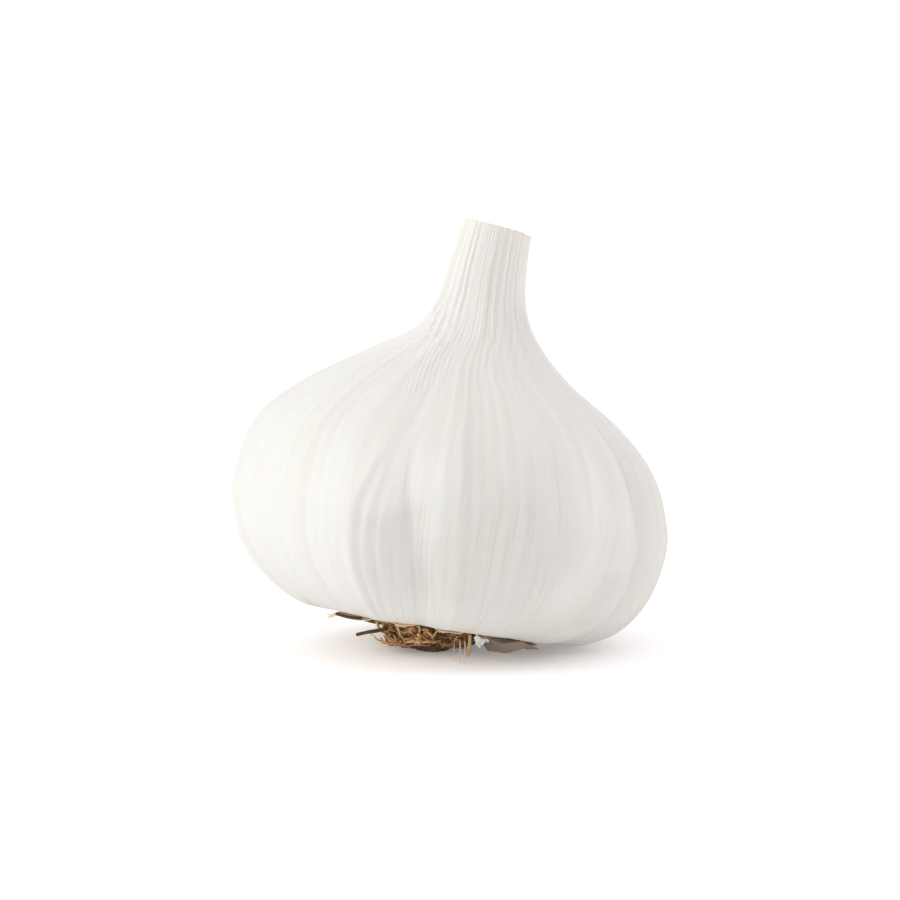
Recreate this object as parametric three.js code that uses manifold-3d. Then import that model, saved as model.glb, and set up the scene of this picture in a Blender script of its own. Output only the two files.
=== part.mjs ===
// A dry white garlic bulb: cloves bulging under a papery skin, a pleated neck cut short,
// and a tuft of trimmed brown roots. It leans as it stands, on its roots and two cloves.
// Millimetres, +Z up, the viewer looks along +Y. The origin is the middle of the tuft's flat foot.
import * as THREE from "three";
import { mergeVertices } from "three/addons/utils/BufferGeometryUtils.js";
import Module from "manifold-3d";

const wasm = await Module();
wasm.setup();

const { degToRad, lerp } = THREE.MathUtils;
const smooth = THREE.MathUtils.smoothstep;

// Driving dimensions.
const BELLY_RADIUS = 29.7;
const NECK_RADIUS = 4.85;
const BULB_HEIGHT = 54.3;
const LEAN_RIGHT = degToRad(9);
const LEAN_BACK = degToRad(8.5);
const BASE_HEIGHT = 3.3; // the root plate's middle above the table
const BASE_RIGHT = 0.47; // and how far it stands right of and behind the foot
const BASE_BEHIND = 0.46;

// Half outline of the skin, [radius, height, shift], from the root plate out to the belly and up the
// neck. shift is how far the outline's middle stands right of the axis, for the bulb grew crooked.
const OUTLINE = [
  [0, 1.5, 0],
  [6, 1.2, 0],
  [12, 0.25, 0.3],
  [18.2, 0.2, 0.6],
  [23.6, 2.6, 0.7],
  [27.6, 6.8, 0.2],
  [29.5, 11.8, -0.1],
  [BELLY_RADIUS, 17.0, -0.2],
  [27.3, 24.0, -0.7],
  [21.9, 29.6, -0.7],
  [14.1, 34.8, -0.9],
  [8.6, 39.2, 0],
  [6.2, 43.4, 0],
  [5.4, 48.4, 0],
  [NECK_RADIUS, BULB_HEIGHT, 0.4],
];
const ROWS_PER_SPAN = 2;

// Seams between neighbouring cloves, by the angle round the bulb from the front towards the right.
// swing is how far the seam turns from the root plate up to the shoulder.
const SEAMS = [
  { angle: -72, swing: 6, depth: 1.0 },
  { angle: -13, swing: 5, depth: 2.5 },
  { angle: 35, swing: -10, depth: 1.1 },
  { angle: 63, swing: -8, depth: 1.5 },
  { angle: 97, swing: -4, depth: 1.8 },
  { angle: 132, swing: 4, depth: 2.4 },
  { angle: 173, swing: -6, depth: 2.2 },
  { angle: 216, swing: 5, depth: 2.4 },
  { angle: 252, swing: 2, depth: 1.9 },
];
// The clove after each seam. crest is where its ridge stands, as a share of the way to the next
// seam, and sunk is how far that ridge stays below the outline.
const CLOVES = [
  { crest: 0.7, sunk: 0 },
  { crest: 0.36, sunk: 0.1 },
  { crest: 0.55, sunk: 0.25 },
  { crest: 0.5, sunk: 0 },
  { crest: 0.5, sunk: 0 },
  { crest: 0.5, sunk: 0 },
  { crest: 0.56, sunk: 0.2 },
  { crest: 0.45, sunk: 0 },
  { crest: 0.52, sunk: 0.3 },
];
const CLOVE_ROUNDNESS = 2.1;
const SEAM_BRIDGING = 0.12; // how much the skin spans a seam
const SEAMS_BEGIN = [12, 28]; // radius on the underside over which the cloves come to show
const UNDERSIDE = 7; // height of its upper edge
const SEAMS_END = [19, 38]; // height where they fade into the neck
const SEAM_MID = 0.45;
const SHOULDER_HEIGHT = 30;

// The pleats that the dry leaf bases make round the neck.
const PLEATS = 27;
const PLEAT_HEIGHT = 0.3;
const PLEATS_BEGIN = [28, 42];
const PLEAT_BOLDEST = degToRad(-40);
const COLUMNS = 4 * PLEATS; // a crest, two flanks and a trough each

// Two slow waves round the skin that change with height, so that it isn't turned true.
const WAVE_HEIGHT = 0.22;
const WAVE_TURN = 1.3;
const WAVE_CLIMB = 6.5;

// The cut end: rings of rolled leaf sheath, [share of the neck's radius, depth below the cut].
const CUT_SLOPE = 0.11; // the cut falls to the right
const CUT_REACHES = 6; // how far down the neck it skews the rows
const CUT_RINGS = [
  [0.84, 0.05],
  [0.8, 1.1],
  [0.66, 1.2],
  [0.62, 0.1],
  [0.47, 0.1],
  [0.42, 1.2],
  [0.27, 1.3],
  [0, 0.5],
];

// The root plate, from below upwards, [radius, height]. The matted roots under it are trodden flat.
const PLATE_RADIUS = 5.4;
const PLATE_BOTTOM = -0.9;
const FOOT_RADIUS = 3.0;
const FOOT_DEPTH = 4.5;
const PLATE_OUTLINE = [
  [0, -FOOT_DEPTH],
  [FOOT_RADIUS, -FOOT_DEPTH],
  [FOOT_RADIUS + 0.8, PLATE_BOTTOM - 0.5],
  [PLATE_RADIUS * 0.92, PLATE_BOTTOM],
  [PLATE_RADIUS, 0.25],
  [PLATE_RADIUS * 0.8, 0.7],
  [0, 0.8],
];
const PLATE_SIDES = 20;

// The trimmed, dried roots. Each leaves the plate downwards and curls outwards and up again.
const ROOT_COUNT = 46;
const ROOT_RADIUS = 0.42;
const ROOT_SIDES = 4;
const ROOT_STEPS = 5;
const ROOT_LENGTH = [3.6, 6.6];
const ROOT_SUNK = 0.5; // how far its start is inside the plate
const ROOT_CEILING = -0.5; // it stays this far below the skin's lower edge
const ROOT_FLOOR = 0.25; // and its middle this far above the table
const ROOT_TURN = 2.39996; // the golden angle spreads them evenly over the plate
const ROOT_DIP = [degToRad(85), degToRad(50)]; // its first slope, mid plate and at the rim
const ROOT_LIFT = [degToRad(50), degToRad(130)]; // how far it curls up
const ROOT_YAW = degToRad(110); // and how far to either side
const SEED = 20173;
// Three longer ones stray under the skin, [right, behind, height] along each.
const STRAY_ROOTS = [
  [[-5, -1.5, -0.35], [-8, -2.2, -0.6], [-10.6, -2.9, -0.62], [-13.2, -3.2, -0.5]],
  [[-5, -2.6, -0.7], [-7.2, -3.4, -1.2], [-10.2, -4.2, -1.9]],
  [[3.5, 5, -0.4], [5.5, 8, -0.8], [5.2, 11, -1.1]],
];

// A dry scrap of outer skin beside the roots, [right, height] round it as seen from the front.
const SCRAP_OUTLINE = [
  [3.8, -1.9],
  [6.4, -2.0],
  [8.6, -1.7],
  [10.8, -1.5],
  [12.9, -1.0],
  [13.6, -0.5],
  [11.6, -0.2],
  [9.8, -0.45],
  [8.2, -0.2],
  [3.8, -0.3],
];
const SCRAP_THICKNESS = 0.6;
const SCRAP_IN_FRONT = 2.4;

// A repeatable stream of numbers from 0 to 1.
function randomStream(seed) {
  let state = seed;
  return () => {
    state = (state + 0x6d2b79f5) | 0;
    let t = Math.imul(state ^ (state >>> 15), 1 | state);
    t = (t + Math.imul(t ^ (t >>> 7), 61 | t)) ^ t;
    return ((t ^ (t >>> 14)) >>> 0) / 4294967296;
  };
}

// How far the cloves stand below the outline at an angle in degrees and a height.
function cloveRelief(angle, height) {
  const along = height / SHOULDER_HEIGHT - SEAM_MID;
  const edges = SEAMS.map((s) => s.angle + s.swing * along);
  const turned = THREE.MathUtils.euclideanModulo(angle - edges[0], 360);
  let k = SEAMS.length - 1;
  while (turned < edges[k] - edges[0]) k--;
  const next = (k + 1) % SEAMS.length;
  const width = (next ? edges[next] : edges[0] + 360) - edges[k];
  const share = (turned - (edges[k] - edges[0])) / width;
  const skewed = share ** (Math.log(0.5) / Math.log(CLOVES[k].crest));
  const arch = 1 - Math.abs(1 - 2 * skewed) ** CLOVE_ROUNDNESS;
  const rise = (arch * arch * (1 + SEAM_BRIDGING)) / (arch + SEAM_BRIDGING);
  const seam = lerp(SEAMS[k].depth, SEAMS[next].depth, smooth(share, 0, 1));
  return lerp(seam, CLOVES[k].sunk, rise);
}

// How far the skin stands off the smooth outline, along its normal.
function skinRelief(angle, radius, height) {
  const under = height < UNDERSIDE ? smooth(radius, ...SEAMS_BEGIN) : 1;
  const cloves = under * (1 - smooth(height, ...SEAMS_END));
  const turn = degToRad(angle);
  const boldness = 0.6 + 0.4 * Math.cos(turn - PLEAT_BOLDEST);
  const pleats = PLEAT_HEIGHT * boldness * smooth(height, ...PLEATS_BEGIN);
  const waves = WAVE_HEIGHT * Math.sin(2 * turn + WAVE_TURN) * Math.sin(height / WAVE_CLIMB);
  return pleats * Math.cos(PLEATS * turn) - cloves * cloveRelief(angle, height) + under * waves;
}

// The bulb's skin: the outline turned round the axis, then moved in or out by its relief.
function bulbGeometry() {
  const outline = new THREE.SplineCurve(OUTLINE.map(([r, z]) => new THREE.Vector2(r, z)));
  const middle = new THREE.SplineCurve(OUTLINE.map(([, z, shift]) => new THREE.Vector2(shift, z)));
  const spans = (OUTLINE.length - 1) * ROWS_PER_SPAN;
  const rows = [];
  for (let i = 0; i <= spans; i++) {
    const at = outline.getPoint(i / spans);
    const along = outline.getTangent(i / spans);
    const normal = new THREE.Vector2(along.y, -along.x);
    rows.push({ at, normal, shift: middle.getPoint(i / spans).x });
  }
  const rim = rows[spans];
  for (const [share, depth] of CUT_RINGS) {
    const at = new THREE.Vector2(NECK_RADIUS * share, BULB_HEIGHT - depth);
    rows.push({ at, inside: share, shift: rim.shift });
  }
  const lathe = new THREE.LatheGeometry(rows.map((row) => row.at), COLUMNS);
  const spots = lathe.attributes.position;
  for (let i = 0; i < spots.count; i++) {
    const column = Math.floor(i / rows.length) % COLUMNS;
    const row = rows[i % rows.length];
    const angle = (360 * column) / COLUMNS;
    const turn = degToRad(angle);
    let { x: radius, y: height } = row.at;
    if (row.normal && radius > 0) {
      const off = skinRelief(angle, radius, height);
      radius += row.normal.x * off;
      height += row.normal.y * off;
    } else if (row.inside) {
      radius += row.inside * skinRelief(angle, rim.at.x, rim.at.y);
    }
    const right = radius * Math.sin(turn);
    height -= CUT_SLOPE * right * smooth(height, BULB_HEIGHT - CUT_REACHES, BULB_HEIGHT);
    spots.setXYZ(i, right + row.shift, -radius * Math.cos(turn), height);
  }
  return lathe;
}

// A closed solid from a geometry, for cutting and joining.
function solidOf(geometry) {
  const bare = new THREE.BufferGeometry();
  bare.setAttribute("position", geometry.attributes.position);
  bare.setIndex(geometry.index);
  const merged = mergeVertices(bare, 1e-4);
  return new wasm.Manifold(
    new wasm.Mesh({
      numProp: 3,
      vertProperties: merged.attributes.position.array,
      triVerts: new Uint32Array(merged.index.array),
    }),
  );
}

// The one large body of what was joined: loose scraps go and sealed hollows are filled.
function mainBody(solid) {
  return solid.decompose().reduce((most, body) => (body.volume() > most.volume() ? body : most));
}

// The geometry of a finished solid.
function geometryOf(solid) {
  const mesh = solid.getMesh();
  const spots = new Float32Array(mesh.numVert * 3);
  for (let i = 0; i < mesh.numVert; i++)
    for (let axis = 0; axis < 3; axis++)
      spots[3 * i + axis] = mesh.vertProperties[mesh.numProp * i + axis];
  const geometry = new THREE.BufferGeometry();
  geometry.setAttribute("position", new THREE.BufferAttribute(spots, 3));
  geometry.setIndex(new THREE.BufferAttribute(new Uint32Array(mesh.triVerts), 1));
  geometry.computeVertexNormals();
  return geometry;
}

// The bulb's own axis, leaning in the standing frame.
const standing = new THREE.Group();
standing.rotation.set(-LEAN_BACK, LEAN_RIGHT, 0, "YXZ");
standing.position.set(BASE_RIGHT, BASE_BEHIND, BASE_HEIGHT);
standing.updateMatrixWorld(true);
const tableInBulb = standing.matrixWorld.clone().invert();

// Everything below the table's surface, in the bulb's frame.
function belowTable() {
  const block = new THREE.BoxGeometry(200, 200, 60).translate(0, 0, -30);
  return solidOf(block.applyMatrix4(tableInBulb));
}

// A tube with few sides along a smooth path.
function tubeSolid(path, radius) {
  const corners = [];
  for (let side = 0; side < ROOT_SIDES; side++) {
    const turn = (2 * Math.PI * side) / ROOT_SIDES;
    corners.push(new THREE.Vector2(radius * Math.cos(turn), radius * Math.sin(turn)));
  }
  const tube = new THREE.ExtrudeGeometry(new THREE.Shape(corners), {
    steps: ROOT_STEPS,
    bevelEnabled: false,
    extrudePath: new THREE.CatmullRomCurve3(path),
  });
  return solidOf(tube);
}

// One root, from inside the plate along a curl.
function rootSolid(random, place) {
  const ring = PLATE_RADIUS * 0.93 * Math.sqrt((place + 0.5) / ROOT_COUNT);
  const turn = place * ROOT_TURN + 0.5 * random();
  const length = lerp(...ROOT_LENGTH, random()) + ROOT_SUNK;
  const dip = lerp(...ROOT_DIP, (ring / PLATE_RADIUS) ** 2) + 0.5 * (random() - 0.5);
  const lift = lerp(...ROOT_LIFT, random());
  const yaw = ROOT_YAW * (2 * random() - 1);
  const spots = [];
  const spot = new THREE.Vector3(Math.cos(turn), Math.sin(turn), 0).multiplyScalar(ring);
  spot.z = PLATE_BOTTOM + ROOT_SUNK;
  for (let i = 0; i <= ROOT_STEPS; i++) {
    spots.push(spot.clone());
    const share = i / ROOT_STEPS;
    const step = new THREE.Vector3(length / ROOT_STEPS, 0, 0)
      .applyAxisAngle(new THREE.Vector3(0, 1, 0), dip - lift * share)
      .applyAxisAngle(new THREE.Vector3(0, 0, 1), turn + yaw * share);
    spot.add(step);
    spot.z = Math.min(spot.z, ROOT_CEILING);
    spot.z += Math.max(0, ROOT_FLOOR - spot.clone().applyMatrix4(standing.matrixWorld).z);
  }
  return tubeSolid(spots, ROOT_RADIUS * (0.85 + 0.3 * random()));
}

// The root plate, its roots and the scrap of skin, joined and trimmed flat by the table.
function rootTuftSolid() {
  const random = randomStream(SEED);
  const outline = PLATE_OUTLINE.map(([r, z]) => new THREE.Vector2(r, z));
  const plate = new THREE.LatheGeometry(outline, PLATE_SIDES).rotateX(Math.PI / 2);
  const scrap = new THREE.ExtrudeGeometry(
    new THREE.Shape(SCRAP_OUTLINE.map(([right, z]) => new THREE.Vector2(right, z))),
    { depth: SCRAP_THICKNESS, bevelEnabled: false },
  ).rotateX(Math.PI / 2);
  const pieces = [solidOf(plate), solidOf(scrap.translate(0, -SCRAP_IN_FRONT, 0))];
  for (const path of STRAY_ROOTS)
    pieces.push(tubeSolid(path.map((spot) => new THREE.Vector3(...spot)), ROOT_RADIUS));
  for (let i = 0; i < ROOT_COUNT; i++) pieces.push(rootSolid(random, i));
  return mainBody(wasm.Manifold.union(pieces).subtract(belowTable()));
}

const bulbMaterial = new THREE.MeshStandardMaterial({ color: 0xece8e2, roughness: 0.55, metalness: 0 });
const rootMaterial = new THREE.MeshStandardMaterial({ color: 0xa9793f, roughness: 0.85, metalness: 0 });

const bulb = new THREE.Mesh(geometryOf(solidOf(bulbGeometry()).subtract(belowTable())), bulbMaterial);
bulb.name = "bulb";
const rootTuft = new THREE.Mesh(geometryOf(rootTuftSolid()), rootMaterial);
rootTuft.name = "root_tuft";
standing.add(bulb, rootTuft);

const garlic = new THREE.Group();
garlic.add(standing);

export default garlic;
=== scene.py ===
"""A whole dry garlic bulb: white papery skin over its cloves, a neck cut short, and trimmed brown roots.

Sizes are in millimetres in the bulb's own frame, where its axis is upright and its root plate is at 0.
standing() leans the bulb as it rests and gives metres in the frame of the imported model. An angle is in
degrees round the bulb, 0 at the front and growing to the right, and a turn is the same in radians.
"""

import math

import bpy
import numpy as np
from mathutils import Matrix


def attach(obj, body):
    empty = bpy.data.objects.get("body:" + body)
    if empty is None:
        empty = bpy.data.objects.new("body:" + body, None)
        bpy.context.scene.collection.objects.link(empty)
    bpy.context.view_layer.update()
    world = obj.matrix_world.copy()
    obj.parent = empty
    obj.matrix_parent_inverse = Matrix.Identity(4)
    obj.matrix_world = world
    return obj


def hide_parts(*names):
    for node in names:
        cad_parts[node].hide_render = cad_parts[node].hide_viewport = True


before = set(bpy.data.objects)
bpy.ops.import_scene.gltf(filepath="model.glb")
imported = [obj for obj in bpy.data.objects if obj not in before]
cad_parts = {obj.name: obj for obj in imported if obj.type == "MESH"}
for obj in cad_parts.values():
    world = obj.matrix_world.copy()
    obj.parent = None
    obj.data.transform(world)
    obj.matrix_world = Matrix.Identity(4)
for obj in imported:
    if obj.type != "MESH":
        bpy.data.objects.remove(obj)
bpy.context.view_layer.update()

# The skin: dry white layers stretched over the cloves and gathered into pleats at the neck. It bulges
# over each clove, dips at the seams between them and has dried into long sharp folds beside the seams.
BULB_HEIGHT = 54.3
BELLY_RADIUS = 29.7
NECK_BASE = 43.4
NECK_BASE_RADIUS = 6.2
NECK_RADIUS = 4.85
NECK_SHIFT = 0.4
SKIN_OUTLINE = [  # radius, height and how far its middle stands right of the axis
    (0, 1.5, 0), (6, 1.2, 0), (12, 0.25, 0.3), (18.2, 0.2, 0.6), (23.6, 2.6, 0.7),
    (27.6, 6.8, 0.2), (29.5, 11.8, -0.1), (BELLY_RADIUS, 17.0, -0.2), (27.3, 24.0, -0.7),
    (21.9, 29.6, -0.7), (14.1, 34.8, -0.9), (8.6, 39.2, 0), (NECK_BASE_RADIUS, NECK_BASE, 0),
    (5.4, 48.4, 0), (NECK_RADIUS, BULB_HEIGHT, NECK_SHIFT),
]
ROWS_PER_SPAN = 15
PLEATS = 36
COLUMNS = 12 * PLEATS
MILLIMETRE = 0.001
LEAN_BACK = math.radians(8.5)
LEAN_RIGHT = math.radians(9)
STANDS_AT = (0.47, 0.46, 3.3)  # the middle of the root plate, from the frame's middle and the table


def standing(spots):
    """Leans spots back and then right, and lifts them so that the roots and two cloves meet the table.
    Nothing goes below the table: what would is pressed flat on it. Gives metres."""
    turn_back = np.array([
        [1, 0, 0],
        [0, math.cos(LEAN_BACK), math.sin(LEAN_BACK)],
        [0, -math.sin(LEAN_BACK), math.cos(LEAN_BACK)],
    ])
    turn_right = np.array([
        [math.cos(LEAN_RIGHT), 0, math.sin(LEAN_RIGHT)],
        [0, 1, 0],
        [-math.sin(LEAN_RIGHT), 0, math.cos(LEAN_RIGHT)],
    ])
    placed = np.asarray(spots, float) @ (turn_right @ turn_back).T + STANDS_AT
    placed[..., 2] = np.maximum(placed[..., 2], 0)
    return placed * MILLIMETRE


def smooth(value, low, high):
    """0 below low, 1 above high and an even S curve between them."""
    share = np.clip((value - low) / (high - low), 0, 1)
    return share * share * (3 - 2 * share)


def between(value, rise, fall):
    """0, then 1, then 0 again: it rises over the first stretch of values and falls over the second."""
    return smooth(value, *rise) * (1 - smooth(value, *fall))


def bell(value, middle, width):
    """1 at the middle, falling on both sides to 1/e at the width and nearly to 0 at twice the width."""
    return np.exp(-(((value - middle) / width) ** 2))


def curve_through(knots, at):
    """A curve through the knots, where at counts knots: between two of them it is the cubic whose slope
    at each is half the step from the knot before it to the knot after it."""
    knots = np.asarray(knots, float)
    last = len(knots) - 1
    start = np.minimum(at.astype(int), last - 1)
    share = (at - start)[:, None]
    before, here, after, beyond = (knots[np.clip(start + k, 0, last)] for k in (-1, 0, 1, 2))
    slope_here = (after - before) / 2
    slope_after = (beyond - here) / 2
    return (
        here
        + share * slope_here
        + share**2 * (3 * (after - here) - 2 * slope_here - slope_after)
        + share**3 * (2 * (here - after) + slope_here + slope_after)
    )


def wander(turn, height, most_turns, climb, seed):
    """A random smooth field with a spread of 1: twelve sine waves, each with a random whole number of
    turns round the bulb and a random slant up it."""
    draw = np.random.default_rng(seed)
    total = 0
    for _ in range(12):
        phase = draw.uniform(0, 2 * math.pi)
        total = total + np.sin(
            draw.integers(1, most_turns + 1) * turn + draw.uniform(-1, 1) * height / climb + phase
        )
    return total / math.sqrt(6)


FRONT = 1  # the row of the front seam and the clove right of it, whose depths change with height
SEAMS = np.array([  # angle, swing and depth, and the crest and the sinking of the clove right of it
    (-72, 6, 1.0, 0.76, 0),
    (-11, -6, 0, 0.42, 0),
    (35, -10, 1.1, 0.55, 0.25),
    (63, -8, 1.5, 0.5, 0),
    (97, -4, 1.8, 0.5, 0),
    (132, 4, 2.4, 0.5, 0),
    (173, -6, 2.2, 0.56, 0.2),
    (216, 5, 2.4, 0.45, 0),
    (252, 2, 1.9, 0.52, 0.3),
])
SEAM_ANGLE, SEAM_SWING, SEAM_DEPTH, CLOVE_CREST, CLOVE_SUNK = SEAMS.T
FRONT_HEIGHTS = (10, 20, 30)
FRONT_DEPTH = (1.1, 0.85, 0.6)
FRONT_SUNK = (0.35, 0.6, 0.35)
ARCH_POWER = 2.1
BRIDGING = 0.16


def clove_relief(angle, height):
    """How far the skin lies below its outline. A clove spans from one seam to the next, its crest stands
    at its own share of the way, and between them it follows an arch: 1 less a power of the distance
    from the crest. The skin bridges the bottom of a seam a little, and seams swing round as they rise."""
    along = height / 30 - 0.45
    starts = SEAM_ANGLE[:, None, None] + SEAM_SWING[:, None, None] * along
    turned = (angle - starts[0]) % 360
    starts = starts - starts[0]
    clove = (turned >= starts[1:]).sum(axis=0)
    ends = np.concatenate([starts[1:], np.full_like(starts[:1], 360)])
    start = np.take_along_axis(starts, clove[None], 0)[0]
    end = np.take_along_axis(ends, clove[None], 0)[0]
    share = (turned - start) / (end - start)
    skewed = share ** (math.log(0.5) / np.log(CLOVE_CREST[clove]))
    arch = 1 - np.abs(1 - 2 * skewed) ** ARCH_POWER
    rise = arch**2 * (1 + BRIDGING) / (arch + BRIDGING)
    following = (clove + 1) % len(SEAM_DEPTH)
    front_depth = np.interp(height, FRONT_HEIGHTS, FRONT_DEPTH)
    depth = np.where(clove == FRONT, front_depth, SEAM_DEPTH[clove])
    next_depth = np.where(following == FRONT, front_depth, SEAM_DEPTH[following])
    sunk = np.where(clove == FRONT, np.interp(height, FRONT_HEIGHTS, FRONT_SUNK), CLOVE_SUNK[clove])
    seam = depth + (next_depth - depth) * smooth(share, 0, 1)
    return seam + (sunk - seam) * rise


EVENLY = (6, 34)  # the heights between which most lines up the skin turn


def fold_line(angle, height, low_angle, high_angle, left, right, turns=EVENLY, power=1.5):
    """1 along a line that runs up the skin from low_angle at the base to high_angle at the shoulder,
    turning between two heights, and falling to 0 over about left and right degrees on its two sides.
    Its top is rounded, or sharp where power is 1."""
    line = low_angle + (high_angle - low_angle) * smooth(height, *turns)
    off = (angle - line + 180) % 360 - 180
    share = np.where(off < 0, -off / left, off / right)
    return np.exp(-(share**power))


VALLEY_HEIGHTS = (4, 9, 14, 19, 25)
VALLEY_ANGLES = (-7, -9.5, -12, -13, -15)


def front_step(angle, height):
    """How far the front lies below the big left clove: nothing up to the crest line, then more and more to
    the valley, two thirds of it on the next bulge, and evenly less again beyond the ridge line."""
    crest = -25.7 + 10 * smooth(height, 12, 32)
    valley = np.interp(height, VALLEY_HEIGHTS, VALLEY_ANGLES)
    ridge = 3.4 - 3.4 * smooth(height, *EVENLY)
    off = (angle + 180) % 360 - 180
    down = np.clip((off - crest) / (valley - crest), 0, 1) ** 1.4
    next_bulge = 1 - 0.33 * smooth(off, valley, valley + 8)
    back_up = smooth(off, ridge, 36)
    return down * next_bulge * (1 - back_up) * between(height, (0.5, 5), (13.5, 21))


CREST_HEIGHT = 0.85
STEP_DEPTH = 1.35
FROM_BASE = (-2, -1)
TO_TOP = (60, 61)
FRONT_FOLDS = [  # height, angles low and high, widths left and right, where it turns, starts and ends
    (0.55, 43, 46, 6, 6, EVENLY, (6, 12), TO_TOP),
    (0.46, -22.2, -16.5, 1.1, 1.0, (9, 30), FROM_BASE, (14, 26)),
    (0.33, -18.4, -14.5, 1.0, 0.9, (9, 30), FROM_BASE, (14, 26)),
    (0.22, -16.3, -12.2, 1.2, 1.0, EVENLY, FROM_BASE, TO_TOP),
    (0.58, 3.4, 0.0, 9, 1.2, EVENLY, FROM_BASE, TO_TOP),
    (0.16, 7.2, 5, 1.2, 0.9, EVENLY, FROM_BASE, (14, 26)),
]
FRONT_GROOVES = [  # depth, and the rest as for the folds
    (0.12, -9, -14, 1.6, 1.6, (4, 22), (8, 14), TO_TOP),
    (0.2, 38, 39, 1.4, 1.8, EVENLY, (12, 20), TO_TOP),
    (0.34, 60, 58, 1.5, 2.6, EVENLY, (13, 18), TO_TOP),
]
BACK_SEAMS = SEAM_ANGLE[4:]


def fold_sum(angle, height, folds):
    """Several folds added up, each with its own height and its own stretch up the bulb."""
    total = 0
    for rise, low_angle, high_angle, left, right, turns, starts, ends in folds:
        line = fold_line(angle, height, low_angle, high_angle, left, right, turns)
        total = total + rise * line * between(height, starts, ends)
    return total


def skin_folds(angle, height):
    """The dried folds and grooves: the front's own, and some beside each back seam drawn at random. The
    big left clove's crest is a sharp fold, mostly gone half way up, with the step down beside it."""
    raised = CREST_HEIGHT * fold_line(angle, height, -25.2, -15.5, 9, 1.3, (12, 32), 1)
    raised *= 1 - 0.8 * smooth(height, 17, 25)
    raised -= STEP_DEPTH * front_step(angle, height)
    raised += fold_sum(angle, height, FRONT_FOLDS)
    grooves = fold_sum(angle, height, FRONT_GROOVES)
    draw = np.random.default_rng(41)
    for seam in BACK_SEAMS:
        grooves += 0.4 * fold_line(angle, height, seam, seam + draw.uniform(-5, 5), 1.3, 1.3)
        for _ in range(5):
            low = seam + draw.uniform(-16, 16)
            width = draw.uniform(0.7, 1.6)
            ridge = fold_line(angle, height, low, low + draw.uniform(-5, 5), width, 0.7 * width)
            raised += draw.uniform(0.12, 0.32) * ridge
    return raised, grooves


RIB_SPREAD = 0.27  # how much wider the ribs' band gets for each step down from the neck


def rib_run(turn, radius, height):
    """Where round the neck the rib at each spot comes from, and how far to the side of all ribs it is.
    Below the neck the ribs leave the meridians. In front and behind they run on nearly straight down,
    inside a band that widens slowly, and the few at the sides spread over the rest: where the skin is
    wider than the band by a factor k, the sine of the turn s becomes k s / (1 + (k^6 - 1) s^6)^(1/6).
    The ribs wander a little, so that they aren't evenly apart."""
    band = NECK_BASE_RADIUS + RIB_SPREAD * np.maximum(NECK_BASE - height, 0)
    wider = np.maximum(radius / band, 1)
    sine = np.abs(np.sin(turn))
    widened = wider * sine / (1 + (wider**6 - 1) * sine**6) ** (1 / 6)
    inward = np.arcsin(np.clip(widened, 0, 1)) * np.sign(np.sin(turn))
    side = smooth(wider * sine, 0.75, 1.15) * (1 - smooth(height, 37, NECK_BASE))
    rib_turn = np.where(np.cos(turn) < 0, math.pi - inward, inward)
    return rib_turn + 0.03 * wander(turn, height, 6, 120, 3), side


PLEAT_HEIGHT = 0.12
BOLDEST = math.radians(-60)


def skin_relief(angle, radius, height):
    """How far the skin stands off its outline, and how deep in a groove each spot is, from 0 to 1. The
    pleats are boldest at the left front and fade down the shoulder and towards the cut. Under the bulb,
    cloves and folds fade out towards the root plate."""
    turn = np.radians(angle)
    under = np.where(height < 7, smooth(radius, 12, 28), 1)
    shown = under * (1 - smooth(height, 19, 38))
    raised, grooves = skin_folds(angle, height)
    folded = under * (1 - smooth(height, 22, 35))
    rib_turn, side = rib_run(turn, radius, height)
    rib = 2 * np.abs(np.cos(PLEATS / 2 * rib_turn)) ** 0.8 - 1
    boldness = 0.56 + 0.44 * np.cos(turn - BOLDEST)
    boldness *= 1 + 0.3 * wander(turn, height, 20, 60, 5)
    gathered = smooth(height, 31, 42) * (1 - 0.65 * smooth(height, 49, BULB_HEIGHT)) * (1 - 0.9 * side)
    pleats = PLEAT_HEIGHT * boldness * gathered * rib
    waves = 0.22 * np.sin(2 * turn + 1.3) * np.sin(height / 6.5)
    fine = 0.035 * wander(turn, height, 90, 9, 7) + 0.05 * wander(turn, height, 9, 5, 11)
    relief = pleats - shown * clove_relief(angle, height) + folded * (raised - grooves)
    relief += under * (waves + fine)
    in_groove = np.clip(2 * folded * grooves + 0.12 * boldness * gathered * (rib < -0.2), 0, 1)
    return relief, in_groove


CUP = np.array([  # shares of the cut rim's radius, and depths below it, over the rim and down inside
    (0.95, -0.06), (0.9, 0.08), (0.86, 0.4), (0.85, 1.4), (0.84, 2.4), (0.0, 2.4),
])
CUT_SLOPE = 0.11  # the neck is cut lower on its right, by this much for each step to the right
NUDGE = 0.001  # the share of a span, to both sides of a spot, that shows which way the outline runs


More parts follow.
